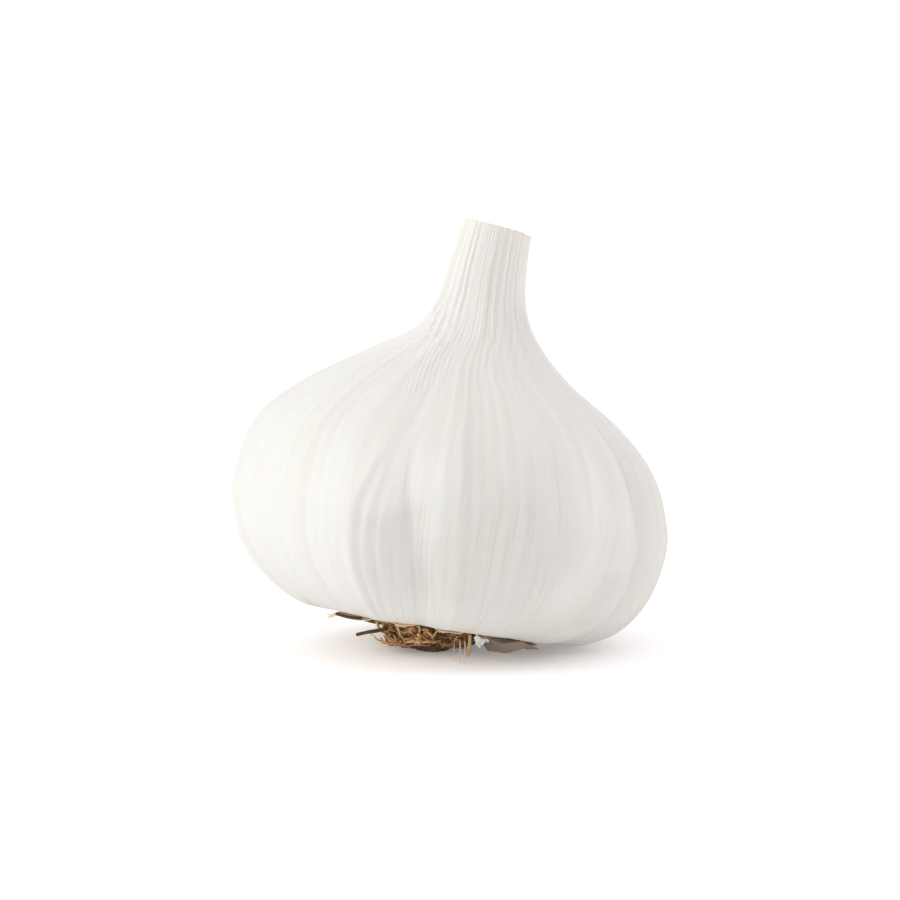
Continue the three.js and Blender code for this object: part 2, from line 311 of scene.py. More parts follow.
def skin_surface():
    """The outline turned round the axis and moved along its own normal by the relief. Over the cut rim
    it goes on down inside as a cup, which the inner layers stand in."""
    spans = len(SKIN_OUTLINE) - 1
    at = np.linspace(0, spans, spans * ROWS_PER_SPAN + 1)
    profile = curve_through(SKIN_OUTLINE, at)
    ahead = curve_through(SKIN_OUTLINE, np.clip(at + NUDGE, 0, spans))
    step = ahead - curve_through(SKIN_OUTLINE, np.clip(at - NUDGE, 0, spans))
    step /= np.hypot(step[:, 0], step[:, 1])[:, None]
    angle, radius = np.meshgrid(np.arange(COLUMNS) * 360 / COLUMNS, profile[:, 0])
    height = np.repeat(profile[:, 1:2], COLUMNS, 1)
    relief, in_groove = skin_relief(angle, radius, height)
    relief[0] = relief[0].mean()
    turn = np.radians(angle)
    radius = radius + step[:, 1:2] * relief
    ragged = 0.03 * wander(turn, 0 * turn, 40, 1, 17) * smooth(height, BULB_HEIGHT - 1, BULB_HEIGHT)
    height = height - step[:, 0:1] * relief + ragged
    radius = np.vstack([radius, CUP[:, 0:1] * radius[-1]])
    height = np.vstack([height, height[-1] - CUP[:, 1:2]])
    turn = np.vstack([turn, np.repeat(turn[:1], len(CUP), 0)])
    in_groove = np.vstack([in_groove, np.zeros((len(CUP), COLUMNS))])
    shift = np.concatenate([profile[:, 2], np.full(len(CUP), profile[-1, 2])])[:, None]
    height[-1] = height[-1].mean()
    right = radius * np.sin(turn)
    height = height - CUT_SLOPE * right * smooth(height, BULB_HEIGHT - 6, BULB_HEIGHT)
    spots = np.stack([right + shift, -radius * np.cos(turn), height], -1)
    return spots, turn, in_groove


# Painted shade on the low middle of the front: how strongly it greys the skin at each height.
PAINTED_SHADE_HEIGHTS = (1, 5, 9, 16, 20, 24, 28)
PAINTED_SHADE_SHARES = (0, 0.9, 1.1, 0.95, 0.55, 0.3, 0)
PAINTED_LIGHT_PATCHES = [  # painted light and shade: how much lighter, its middle angle and width, and the heights where it starts and ends
    (0.06, 41, 4, (5, 12), (22, 30)),
    (-0.035, 67, 11, (5, 12), (22, 30)),
    (-0.055, 40, 16, (7, 11), (13, 19)),
    (-0.075, 51, 6, (2, 4), (9, 12)),
    (0.06, -60, 32, (33, 38), TO_TOP),
    (0.1, 62, 32, (42, 47), TO_TOP),
    (-0.035, 8, 22, (42, 47), TO_TOP),
]


def skin_looks(turn, radius, height):
    """How light each spot is, how strongly its veins show, and its fine ribs: the sine and cosine of their
    turn, and their strength. The lightness is painted light and shade: painted shade greys the low
    middle of the front, and patches paint a light streak among greyer ones on the right clove, a lighter
    left shoulder, and a darker middle and lighter sides on the neck. Veins show most low on the front,
    and least on the big left clove."""
    angle = (np.degrees(turn) + 180) % 360 - 180
    from_left = 14 * smooth(height, 12, 18)
    painted_shade = smooth(angle, -27 + from_left, -16 + from_left) * (1 - smooth(angle, 20, 38))
    painted_shade *= np.interp(height, PAINTED_SHADE_HEIGHTS, PAINTED_SHADE_SHARES)
    painted_shade -= 0.5 * bell(angle, -6, 4) * between(height, (10, 13), (20, 25))
    tone = 1 - 0.095 * painted_shade
    for lighter, middle, width, starts, ends in PAINTED_LIGHT_PATCHES:
        tone += lighter * bell(angle, middle, width) * between(height, starts, ends)
    veined = 0.32 + 0.12 * wander(turn, height, 4, 30, 29)
    veined += 0.65 * between(angle, (-30, -24), (25, 50)) * (1 - smooth(height, 14, 28))
    veined *= 1 - 0.6 * between(angle, (-95, -80), (-33, -27)) * smooth(height, 10, 18)
    rib_turn, side = rib_run(turn, radius, height)
    crimped = smooth(height, 25, 33) * (1 - 0.45 * smooth(height, 42, 48)) * (1 - side)
    crimped *= 0.4 * np.clip(0.7 + 0.4 * wander(turn, height, 24, 2.5, 6), 0, 2)
    ribs = np.stack([np.sin(rib_turn), np.cos(rib_turn), crimped], -1)
    return np.clip(tone, 0, 1.2), np.clip(veined, 0, 1), ribs


CUP_TAN = 0.5


def dry_tan(turn, radius, height, right):
    """How tan each spot is: streaky round the root plate, very little up the neck, more along the cut
    rim and in its cup, and one faint stain on the big left clove."""
    torn = wander(turn, 0 * turn, 30, 1, 23)
    at_plate = 0.65 * (1 - smooth(height, 0.6, 2.0))
    at_plate *= 1 - smooth(radius, 13 + torn, 20 + 2 * torn)
    at_neck = 0.06 * smooth(height, 46, 54.5) * (0.6 + 0.4 * np.sin(3 * turn))
    cut = BULB_HEIGHT - CUT_SLOPE * right
    at_neck += 0.3 * smooth(height, cut - 0.6, cut - 0.1) * (0.5 + 0.5 * np.sin(turn))
    stain = 0.13 * fold_line(np.degrees(turn), height, -44.5, -41, 2.0, 1.6)
    stain *= between(height, (13, 19), (21, 26))
    tan = np.maximum.reduce([at_plate, at_neck, stain])
    tan[-len(CUP):] = np.maximum(tan[-len(CUP):], CUP_TAN)
    return np.clip(tan, 0, 1)


def mesh_object(name, spots, faces):
    """An object from a list of spots in the bulb's frame and faces that count them."""
    mesh = bpy.data.meshes.new(name)
    mesh.from_pydata(standing(spots).tolist(), [], faces)
    mesh.shade_smooth()
    piece = bpy.data.objects.new(name, mesh)
    bpy.context.scene.collection.objects.link(piece)
    return piece


def sheet_mesh(name, spots, rows_close=False, columns_close=True, first_pole=False, last_pole=False):
    """A mesh object from a grid of spots, rows by columns, and which of the spots it kept. Four
    neighbours make a face. Rows and columns may close on themselves, and a first or last row that is a
    single point becomes one vertex."""
    rows, columns = spots.shape[:2]
    number = np.arange(rows * columns).reshape(rows, columns)
    if first_pole:
        number[0] = 0
    if last_pole:
        number[-1] = number[-1, 0]
    if rows_close:
        number = np.vstack([number, number[:1]])
    if columns_close:
        number = np.hstack([number, number[:, :1]])
    quads = np.stack([number[:-1, :-1], number[:-1, 1:], number[1:, 1:], number[1:, :-1]], -1)
    kept = np.unique(number)
    renumbered = np.zeros(rows * columns, int)
    renumbered[kept] = np.arange(len(kept))
    faces = [list(dict.fromkeys(face)) for face in renumbered[quads].reshape(-1, 4).tolist()]
    return mesh_object(name, spots.reshape(-1, 3)[kept], faces), kept


def add_attribute(piece, name, kind, values):
    """Stores a number ("FLOAT") or a triple ("FLOAT_VECTOR") for every vertex of a piece."""
    layer = piece.data.attributes.new(name, kind, "POINT")
    layer.data.foreach_set("value" if kind == "FLOAT" else "vector", np.ravel(values).astype(np.float32))


def new_material(name):
    """A new material, its tree of nodes and its shader."""
    material = bpy.data.materials.new(name)
    material.use_nodes = True
    return material, material.node_tree, material.node_tree.nodes["Principled BSDF"]


def add_node(tree, kind, inputs=None, **settings):
    """A shader node with its settings. Each input gets a value, or a link from another node's socket."""
    made = tree.nodes.new(kind)
    for setting, value in settings.items():
        setattr(made, setting, value)
    for socket, value in (inputs or {}).items():
        if isinstance(value, bpy.types.NodeSocket):
            tree.links.new(value, made.inputs[socket])
        else:
            made.inputs[socket].default_value = value
    return made


def attribute(tree, name, output="Fac"):
    """One of the piece's own attributes, as a number, or as a triple where output is Vector."""
    return add_node(tree, "ShaderNodeAttribute", attribute_name=name).outputs[output]


def worked_out(tree, operation, *values):
    """One step of arithmetic, such as ADD, on values or other nodes' sockets."""
    return add_node(tree, "ShaderNodeMath", dict(enumerate(values)), operation=operation).outputs[0]


def mixed(tree, share, first, second, blend="MIX"):
    """The colour that is share of the way from first to second."""
    mix = add_node(tree, "ShaderNodeMix", data_type="RGBA", blend_type=blend)
    for index, value in ((0, share), (6, first), (7, second)):
        if isinstance(value, bpy.types.NodeSocket):
            tree.links.new(value, mix.inputs[index])
        else:
            mix.inputs[index].default_value = value if index == 0 else (*value, 1)
    return mix.outputs[2]


def spread(tree, value, low, high, to_low=0.0, to_high=1.0):
    """A value spread from low..high to to_low..to_high, smoothly, and held at both ends."""
    ranged = add_node(
        tree,
        "ShaderNodeMapRange",
        {"Value": value, "From Min": low, "From Max": high, "To Min": to_low, "To Max": to_high},
        interpolation_type="SMOOTHSTEP",
    )
    return ranged.outputs["Result"]


def noise(tree, place, scale, detail):
    """Soft random lumps, about scale of them in each unit of place."""
    made = add_node(tree, "ShaderNodeTexNoise", {"Vector": place, "Scale": scale, "Detail": detail})
    return made.outputs["Fac"]


def streaks(tree, stretched, scale, detail):
    """Noise drawn out along the skin: its third coordinate, up the bulb, is squeezed to stretched."""
    around = attribute(tree, "around", "Vector")
    mapped = add_node(tree, "ShaderNodeMapping", {"Vector": around, "Scale": (1, 1, stretched)})
    return noise(tree, mapped.outputs["Vector"], scale, detail)


def add_bump(tree, shader, height, strength, depth):
    """Gives the shader a fine relief, depth metres deep."""
    bump = add_node(tree, "ShaderNodeBump", {"Height": height, "Strength": strength, "Distance": depth})
    tree.links.new(bump.outputs["Normal"], shader.inputs["Normal"])


def crimps(tree):
    """Fine ribs, two to each pleat: the sine of 72 times the angle that the ribs attribute holds as a sine
    and cosine, times the strength in its third part."""
    parts = add_node(tree, "ShaderNodeSeparateXYZ", {"Vector": attribute(tree, "ribs", "Vector")}).outputs
    turned = worked_out(tree, "ARCTAN2", parts["X"], parts["Y"])
    wave = worked_out(tree, "SINE", worked_out(tree, "MULTIPLY", turned, 2.0 * PLEATS))
    return worked_out(tree, "MULTIPLY", wave, parts["Z"])


def papery_skin():
    """White satin skin: fine veins that run up it, soft cream and pink bands, painted light and shade from
    its tone, and tan in the grooves, at the neck and where it is torn at the root plate."""
    white = (0.64, 0.632, 0.603)
    pink_white = (0.63, 0.613, 0.584)
    cream = (0.61, 0.603, 0.555)
    vein_tan = (0.555, 0.517, 0.47)
    groove_tan = (0.49, 0.40, 0.32)
    dry_brown = (0.60, 0.42, 0.22)
    material, tree, shader = new_material("papery_skin")
    veins = streaks(tree, 0.05, 52, 4)
    bands = streaks(tree, 0.08, 9, 2)
    blotches = streaks(tree, 0.6, 3.2, 3)
    vein_depth = spread(tree, veins, 0.52, 0.72, 0, 0.5)
    vein_share = worked_out(tree, "MULTIPLY", vein_depth, attribute(tree, "veined"))
    groove_share = spread(tree, attribute(tree, "groove"), 0.1, 1.0, 0, 0.55)
    tan_streaks = spread(tree, veins, 0.3, 0.65, 0.35, 1)
    tan_share = worked_out(tree, "MULTIPLY", attribute(tree, "tan"), tan_streaks)
    colour = mixed(tree, spread(tree, bands, 0.4, 0.62), white, pink_white)
    colour = mixed(tree, spread(tree, blotches, 0.5, 0.68, 0, 0.5), colour, cream)
    colour = mixed(tree, vein_share, colour, vein_tan)
    colour = mixed(tree, groove_share, colour, groove_tan)
    colour = mixed(tree, tan_share, colour, dry_brown)
    # The tone attribute paints light and shade into the colour: the greyer low front, and lighter and
    # greyer patches.
    colour = mixed(tree, 1.0, colour, attribute(tree, "tone"), "MULTIPLY")
    tree.links.new(colour, shader.inputs["Base Color"])
    tree.links.new(spread(tree, veins, 0.3, 0.7, 0.42, 0.62), shader.inputs["Roughness"])
    add_bump(tree, shader, worked_out(tree, "ADD", veins, crimps(tree)), 0.55, 0.00012)
    shader.inputs["Subsurface Weight"].default_value = 0.25
    shader.inputs["Subsurface Radius"].default_value = (1.0, 0.75, 0.55)
    shader.inputs["Subsurface Scale"].default_value = 0.002
    shader.inputs["Specular IOR Level"].default_value = 0.35
    return material


skin_spots, skin_turn, skin_groove = skin_surface()
skin, skin_kept = sheet_mesh("skin", skin_spots, first_pole=True, last_pole=True)
skin_radius = np.hypot(skin_spots[..., 0], skin_spots[..., 1])
skin_height = skin_spots[..., 2]
skin_painted_light, skin_veined, skin_ribs = skin_looks(skin_turn, skin_radius, skin_height)
skin_around = np.stack([np.sin(skin_turn), -np.cos(skin_turn), skin_height / BELLY_RADIUS], -1)
skin_tan = dry_tan(skin_turn, skin_radius, skin_height, skin_spots[..., 0])
add_attribute(skin, "tone", "FLOAT", skin_painted_light.ravel()[skin_kept])
add_attribute(skin, "veined", "FLOAT", skin_veined.ravel()[skin_kept])
add_attribute(skin, "ribs", "FLOAT_VECTOR", skin_ribs.reshape(-1, 3)[skin_kept])
add_attribute(skin, "around", "FLOAT_VECTOR", skin_around.reshape(-1, 3)[skin_kept])
add_attribute(skin, "groove", "FLOAT", skin_groove.ravel()[skin_kept])
add_attribute(skin, "tan", "FLOAT", skin_tan.ravel()[skin_kept])
skin.data.materials.append(papery_skin())
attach(skin, "root")
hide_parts("bulb")

# The cut end of the neck: dry leaf sheaths rolled inside each other, cut across with scissors. Each is a
# thin ribbed tube that stands in the cup of the one outside it, round the stub of the dried stalk.
SHEATHS = [  # outside and wall as shares of the neck's radius, depth below the cut, and how tan
    (0.8, 0.15, 0.25, 0.3),
    (0.62, 0.14, 0.0, 0.42),
    (0.43, 0.12, 0.35, 0.54),
]
SHEATH_FOOT = 2.6  # below the cut, just under the bottom of the cup
SHEATH_SIDES = 3 * PLEATS
STALK = 0.24  # its share of the neck's radius
STALK_SIDES = 36
STALK_TAN = 0.8
STREAK_LENGTH = 30


def sheath_tube(outside, wall, depth, seed):
    """A closed thin tube: up its outside, over the rim and down its inside. Its radius wanders by a
    few hundredths round the neck, and its cut edge is ragged by a tenth."""
    path = np.array([
        (outside, SHEATH_FOOT), (outside, depth + 0.15), (outside - 0.2 * wall, depth),
        (outside - 0.8 * wall, depth), (outside - wall, depth + 0.15), (outside - wall, SHEATH_FOOT),
    ])
    turn = np.repeat(np.linspace(0, 2 * math.pi, SHEATH_SIDES, endpoint=False)[None], len(path), 0)
    uneven = 1 + 0.03 * wander(turn, 0 * turn, 4, 1, seed) + 0.012 * np.cos(PLEATS * turn + seed)
    radius = NECK_RADIUS * path[:, 0:1] * uneven
    right = radius * np.sin(turn)
    ragged = 0.1 * wander(turn, 0 * turn, 30, 1, seed + 1) * (path[:, 1:2] < 2)
    height = BULB_HEIGHT - path[:, 1:2] - CUT_SLOPE * right + ragged
    return np.stack([right + NECK_SHIFT, -radius * np.cos(turn), height], -1), turn


def stalk_stub():
    """A short stub with nine soft ribs: up its side and over a top that is a little uneven."""
    path = np.array([(STALK, SHEATH_FOOT), (STALK, 1.0), (0.8 * STALK, 0.75), (0.4 * STALK, 0.9), (0, 1.0)])
    turn = np.repeat(np.linspace(0, 2 * math.pi, STALK_SIDES, endpoint=False)[None], len(path), 0)
    radius = NECK_RADIUS * path[:, 0:1] * (1 + 0.06 * np.cos(9 * turn))
    height = np.repeat(BULB_HEIGHT - path[:, 1:2], STALK_SIDES, 1)
    return np.stack([radius * np.sin(turn) + NECK_SHIFT, -radius * np.cos(turn), height], -1), turn


def neck_looks(piece, kept, turn, height, tan):
    """Stores what the skin's material reads on a piece of the neck: its place, one tan share all over
    and full lightness. Without the others it has no veins, grooves or fine ribs."""
    around = np.stack([np.sin(turn), np.cos(turn), height / STREAK_LENGTH], -1)
    add_attribute(piece, "around", "FLOAT_VECTOR", around.reshape(-1, 3)[kept])
    add_attribute(piece, "tan", "FLOAT", np.full(len(kept), tan))
    add_attribute(piece, "tone", "FLOAT", np.ones(len(kept)))


def joined(pieces, name):
    """Makes one object of several, keeping their attributes and materials."""
    with bpy.context.temp_override(active_object=pieces[0], selected_editable_objects=pieces):
        bpy.ops.object.join()
    pieces[0].name = name
    return pieces[0]


neck_pieces = []
for number, (outside, wall, depth, tan) in enumerate(SHEATHS):
    spots, turn = sheath_tube(outside, wall, depth, 31 + 2 * number)
    tube, kept = sheet_mesh(f"sheath_{number}", spots, rows_close=True)
    neck_looks(tube, kept, turn, spots[..., 2], tan)
    neck_pieces.append(tube)
stalk_spots, stalk_turn = stalk_stub()
stalk, stalk_kept = sheet_mesh("stalk", stalk_spots, last_pole=True)
neck_looks(stalk, stalk_kept, stalk_turn, stalk_spots[..., 2], STALK_TAN)
neck_pieces.append(stalk)
sheaths = joined(neck_pieces, "neck_sheaths")
sheaths.data.materials.append(skin.data.materials[0])
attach(sheaths, "root")
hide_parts("bulb")

# The torn layer: the stub of an outer skin that was peeled off, still held at the root plate. It lies
# close under the bulb, and its ragged tan edge curls down a little all round.
TORN_START = 5.0
TORN_EDGE = 11.5
TORN_GAP = 0.16  # how far it lies under the skin
TORN_ROWS = 15
TORN_COLUMNS = 360
TORN_WALL = 0.09


def torn_layer_surface():
    """A ring from the root plate outwards, just under the skin. Its outer edge is at a radius of 11.5, or
    13.5 at the left and right, give or take a ragged 2, and near it the ring curls down by up to 1."""
    around = np.linspace(0, 2 * math.pi, TORN_COLUMNS, endpoint=False)
    turn, out = np.meshgrid(around, np.linspace(0, 1, TORN_ROWS))
    edge = TORN_EDGE + 2 * smooth(np.abs(np.sin(turn)), 0.65, 0.95) + 0.6 * wander(turn, 0 * turn, 7, 1, 51)
    tatters = wander(turn, 0 * turn, 23, 1, 52) * wander(turn, 0 * turn, 9, 1, 55)
    edge += 0.55 * tatters + 0.2 * wander(turn, 0 * turn, 90, 1, 56)
    radius = TORN_START + (edge - TORN_START) * out
    profile = curve_through(SKIN_OUTLINE, np.linspace(0, 4, 200))
    under = np.interp(radius, profile[:, 0], profile[:, 1])
    curl = 0.3 + 0.2 * wander(turn, 0 * turn, 14, 1, 53) + 0.3 * smooth(-np.sin(turn), 0.5, 0.9)
    curl *= smooth(out, 0.75, 1.0)
    height = under - TORN_GAP - np.maximum(curl, -0.05) + 0.04 * wander(turn, radius, 30, 2, 54)
    return np.stack([radius * np.sin(turn), -radius * np.cos(turn), height], -1), turn, out


def dry_scrap_material(name, colour, edge_colour):
    """Old skin, dried thin: a fifth darker along its veins, and of another colour at its edge."""
    material, tree, shader = new_material(name)
    veins = streaks(tree, 0.12, 40, 4)
    darker = tuple(0.82 * part for part in colour)
    veined = mixed(tree, spread(tree, veins, 0.35, 0.65), colour, darker)
    edged = mixed(tree, attribute(tree, "tan"), veined, edge_colour)
    tree.links.new(edged, shader.inputs["Base Color"])
    shader.inputs["Roughness"].default_value = 0.6
    add_bump(tree, shader, veins, 0.6, 0.0001)
    return material


def thicken(piece, thickness):
    """Gives a sheet its thickness, half on each side."""
    wall = piece.modifiers.new("wall", "SOLIDIFY")
    wall.thickness = thickness * MILLIMETRE
    wall.offset = 0


torn_spots, torn_turn, torn_out = torn_layer_surface()
torn_layer = sheet_mesh("torn_layer", torn_spots[::-1])[0]
torn_around = np.stack([np.sin(torn_turn), -np.cos(torn_turn), torn_out * 0.3], -1)[::-1]
add_attribute(torn_layer, "around", "FLOAT_VECTOR", torn_around)
add_attribute(torn_layer, "tan", "FLOAT", smooth(torn_out, 0.55, 1.0)[::-1])
thicken(torn_layer, TORN_WALL)
torn_layer.data.materials.append(
    dry_scrap_material("torn_skin", (0.92, 0.86, 0.76), (0.88, 0.74, 0.55))
)
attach(torn_layer, "root")
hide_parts("bulb")

# The root plate: the bulb's corky brown base, with matted root stumps under it that the bulb's weight
# has pressed into a flat foot.
PLATE_RADIUS = 5.4
PLATE_OUTLINE = [  # radius, height and how far its middle stands right of the axis
    (0, 0.8, 0), (2.2, 0.78, 0), (4.3, 0.7, 0), (PLATE_RADIUS, 0.25, 0), (5.2, -0.4, 0), (4.3, -0.9, 0),
    (3.5, -1.7, 0), (3.0, -2.4, 0), (2.4, -3.1, 0), (1.3, -3.6, 0), (0, -3.7, 0),
]
PLATE_ROWS = 51
PLATE_COLUMNS = 120
PALEST = 0.94  # root tones from here up are nearly white


def plate_surface():
    """The plate's outline turned round the axis, from its foot up, its radius uneven by a twentieth."""
    at = np.linspace(0, len(PLATE_OUTLINE) - 1, PLATE_ROWS)
    profile = curve_through(PLATE_OUTLINE, at)[::-1]
    turn = np.repeat(np.linspace(0, 2 * math.pi, PLATE_COLUMNS, endpoint=False)[None], PLATE_ROWS, 0)
    height = np.repeat(profile[:, 1:2], PLATE_COLUMNS, 1)
    radius = np.maximum(profile[:, 0:1], 0) * (1 + 0.05 * wander(turn, height, 26, 0.5, 61))
    return np.stack([radius * np.sin(turn), -radius * np.cos(turn), height], -1)


def root_bark():
    """Dried root: from dark brown to straw by the tone of each root, which also carries painted shade low
    down, nearly white for the palest hairs, with darker bits and a fine fibrous grain."""
    dark = (0.075, 0.04, 0.016)
    brown = (0.45, 0.215, 0.068)
    straw = (0.8, 0.55, 0.29)
    dark_bit = (0.16, 0.085, 0.035)
    fibre = (0.66, 0.41, 0.18)
    nearly_white = (0.92, 0.82, 0.74)
    material, tree, shader = new_material("dry_roots")
    tone = attribute(tree, "tone")
    place = add_node(tree, "ShaderNodeTexCoord").outputs["Object"]
    grain = noise(tree, place, 1400.0, 3.0)
    bits = noise(tree, place, 420.0, 2.0)
    grain_most = spread(tree, tone, 0.0, 0.4, 0.06, 0.4)
    grain_share = worked_out(tree, "MULTIPLY", spread(tree, grain, 0.45, 0.7), grain_most)
    colour = mixed(tree, spread(tree, tone, 0.0, 0.5), dark, brown)
    colour = mixed(tree, spread(tree, tone, 0.5, 0.95), colour, straw)
    colour = mixed(tree, spread(tree, bits, 0.52, 0.78, 0, 0.6), colour, dark_bit)
    colour = mixed(tree, grain_share, colour, fibre)
    colour = mixed(tree, spread(tree, tone, PALEST, 1.0, 0, 0.85), colour, nearly_white)
    tree.links.new(colour, shader.inputs["Base Color"])
    add_bump(tree, shader, grain, 0.7, 0.00012)
    shader.inputs["Roughness"].default_value = 0.72
    shader.inputs["Subsurface Weight"].default_value = 0.1
    shader.inputs["Subsurface Scale"].default_value = 0.0006
    return material


plate_spots = plate_surface()
root_plate, plate_kept = sheet_mesh("root_plate", plate_spots, first_pole=True, last_pole=True)
# Painted shade: below the plate's rim its foot turns near-black, standing in for the shadow under the
# roots.
plate_tone_and_painted_shade = 0.02 + 0.26 * smooth(plate_spots[..., 2], -1.4, -0.6)
add_attribute(root_plate, "tone", "FLOAT", plate_tone_and_painted_shade.ravel()[plate_kept])
root_plate.data.materials.append(root_bark())
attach(root_plate, "root")
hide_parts("root_tuft")

# The roots: hundreds of dried, trimmed strands, most of them curled back on themselves into a springy
# brown mat under the plate. A few dark stubs, a pale stub and some pale hairs stray out of the mat.
ROOT_COUNT = 640
ROOT_SIDES = 5
ROOT_RINGS = 12
ROOT_LENGTH = (3.5, 8.5)
THINNEST_ROOT = 0.08
ROOT_RANGE = 0.26  # how much larger the radius of the thickest is
ROOT_START = 5.0  # the plate's radius out to which roots start
GOLDEN_ANGLE = 2.39996  # in radians: from one root to the next, it spreads them evenly over the plate


def curled_paths(count, seed):
    """Root centre lines, count by rings by 3. Each starts on the plate and takes equal steps whose slope
    and heading turn evenly, with small kinks, so it curls. It stays under the skin and above the table,
    and mostly inside a room that narrows downwards."""
    draw = np.random.default_rng(seed)
    place = (np.arange(count) + 0.5) / count
    ring = ROOT_START * np.sqrt(place)
    turn = np.arange(count) * GOLDEN_ANGLE + draw.uniform(0, 0.5, count)
    length = draw.uniform(*ROOT_LENGTH, count)
    slope = np.radians(80 - 45 * place**2 + draw.uniform(-25, 25, count))
    lift = np.radians(draw.uniform(60, 330, count))
    yaw = np.radians(draw.uniform(-330, 330, count))
    share = np.linspace(0, 1, ROOT_RINGS)[None]
    dip = slope[:, None] - lift[:, None] * share + 0.4 * draw.standard_normal((count, ROOT_RINGS))
    heading = turn[:, None] + yaw[:, None] * share + 0.5 * draw.standard_normal((count, ROOT_RINGS))
    step = np.stack([np.cos(dip) * np.cos(heading), np.cos(dip) * np.sin(heading), -np.sin(dip)], -1)
    step *= (length / (ROOT_RINGS - 1))[:, None, None]
    start = np.stack([ring * np.cos(turn), ring * np.sin(turn), draw.uniform(-1.2, -0.5, count)], -1)
    path = start[:, None] + np.cumsum(step, 1) - step[:, :1]
    reach = np.hypot(path[..., 0], path[..., 1])[..., None]
    room = np.clip(7.0 + 0.6 * path[..., 2:], 4.2, 6.6) - 0.1 * path[..., :1]
    room *= draw.uniform(0.74, 1.16, (count, 1, 1))
    path[..., :2] *= np.where(reach > room, (room + 0.3 * (reach - room)) / np.maximum(reach, 0.01), 1)
    above = draw.uniform(0.25, 0.9, (count, 1)) + 0.33 * np.maximum(-path[..., 1] - 0.6, 0)
    return held_in(path, above, draw.uniform(-0.75, -0.3, (count, 1)))


def held_in(path, above, ceiling):
    """Keeps paths below a ceiling in the bulb's frame, and no nearer to the table than above. In that
    frame the table rises to the right and to the back, by the parts of the lean, to three digits."""
    path = path.copy()
    path[..., 2] = np.minimum(path[..., 2], ceiling)
    to_right = math.sin(LEAN_RIGHT)
    to_back = round(math.cos(LEAN_RIGHT) * math.sin(LEAN_BACK), 3)
    upright = round(math.cos(LEAN_RIGHT) * math.cos(LEAN_BACK), 3)
    table = -(STANDS_AT[2] - to_right * path[..., 0] - to_back * path[..., 1]) / upright
    path[..., 2] = np.maximum(path[..., 2], table + above)
    return path


def tube_spots(paths, radius):
    """Tubes round many paths at once: at each point a ring of sides, in a frame carried along the path
    by dropping the part of its first side that lies along the path."""
    along = np.gradient(paths, axis=1)
    along /= np.linalg.norm(along, axis=-1, keepdims=True) + 1e-9
    side = np.empty_like(paths)
    first = np.cross(along[:, 0], (0.3, 0.5, 0.81))
    for ring in range(paths.shape[1]):
        first = first - (first * along[:, ring]).sum(-1, keepdims=True) * along[:, ring]
        first /= np.linalg.norm(first, axis=-1, keepdims=True) + 1e-9
        side[:, ring] = first
    other = np.cross(along, side)
    corner = np.linspace(0, 2 * math.pi, ROOT_SIDES, endpoint=False)
    across = side[:, :, None] * np.cos(corner)[:, None] + other[:, :, None] * np.sin(corner)[:, None]
    return paths[:, :, None] + across * radius[..., None, None]


def tubes_object(name, spots):
    """One mesh of many tubes, count by rings by sides, each closed by a flat face at both ends."""
    count, rings, sides = spots.shape[:3]
    number = np.arange(count * rings * sides).reshape(count, rings, sides)
    wrapped = np.concatenate([number, number[:, :, :1]], 2)
    quads = np.stack(
        [wrapped[:, :-1, :-1], wrapped[:, :-1, 1:], wrapped[:, 1:, 1:], wrapped[:, 1:, :-1]], -1
    ).reshape(-1, 4)
    ends = np.concatenate([number[:, 0, ::-1], number[:, -1]])
    return mesh_object(name, spots.reshape(-1, 3), quads.tolist() + ends.tolist())


root_paths = curled_paths(ROOT_COUNT, 71)
root_draw = np.random.default_rng(72)
root_uneven = 1 + 0.2 * root_draw.standard_normal((ROOT_COUNT, ROOT_RINGS))
root_taper = np.linspace(1.0, 0.7, ROOT_RINGS)[None] * root_uneven
root_thickness = THINNEST_ROOT + ROOT_RANGE * root_draw.beta(1.1, 1.6, (ROOT_COUNT, 1))
root_radius = root_thickness * np.clip(root_taper, 0.4, 1.5)
roots = tubes_object("roots", tube_spots(root_paths, root_radius))
root_tone_and_painted_light = root_draw.beta(0.8, 1.05, ROOT_COUNT)[:, None, None] * np.ones((1, ROOT_RINGS, ROOT_SIDES))
root_lift = standing(root_paths)[..., 2] / MILLIMETRE
# Painted shade: each root is darker the nearer it comes to the table. Painted light and shade also make the
# tuft lighter towards the left and darker towards the right.
root_tone_and_painted_light *= (0.3 + 0.7 * smooth(root_lift, 0.5, 2.0))[..., None]
root_tone_and_painted_light = np.minimum(root_tone_and_painted_light * (1.02 - 0.045 * root_paths[..., :1]), PALEST - 0.01)
add_attribute(roots, "tone", "FLOAT", root_tone_and_painted_light)
roots.data.materials.append(root_plate.data.materials[0])
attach(roots, "root")
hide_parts("root_tuft")

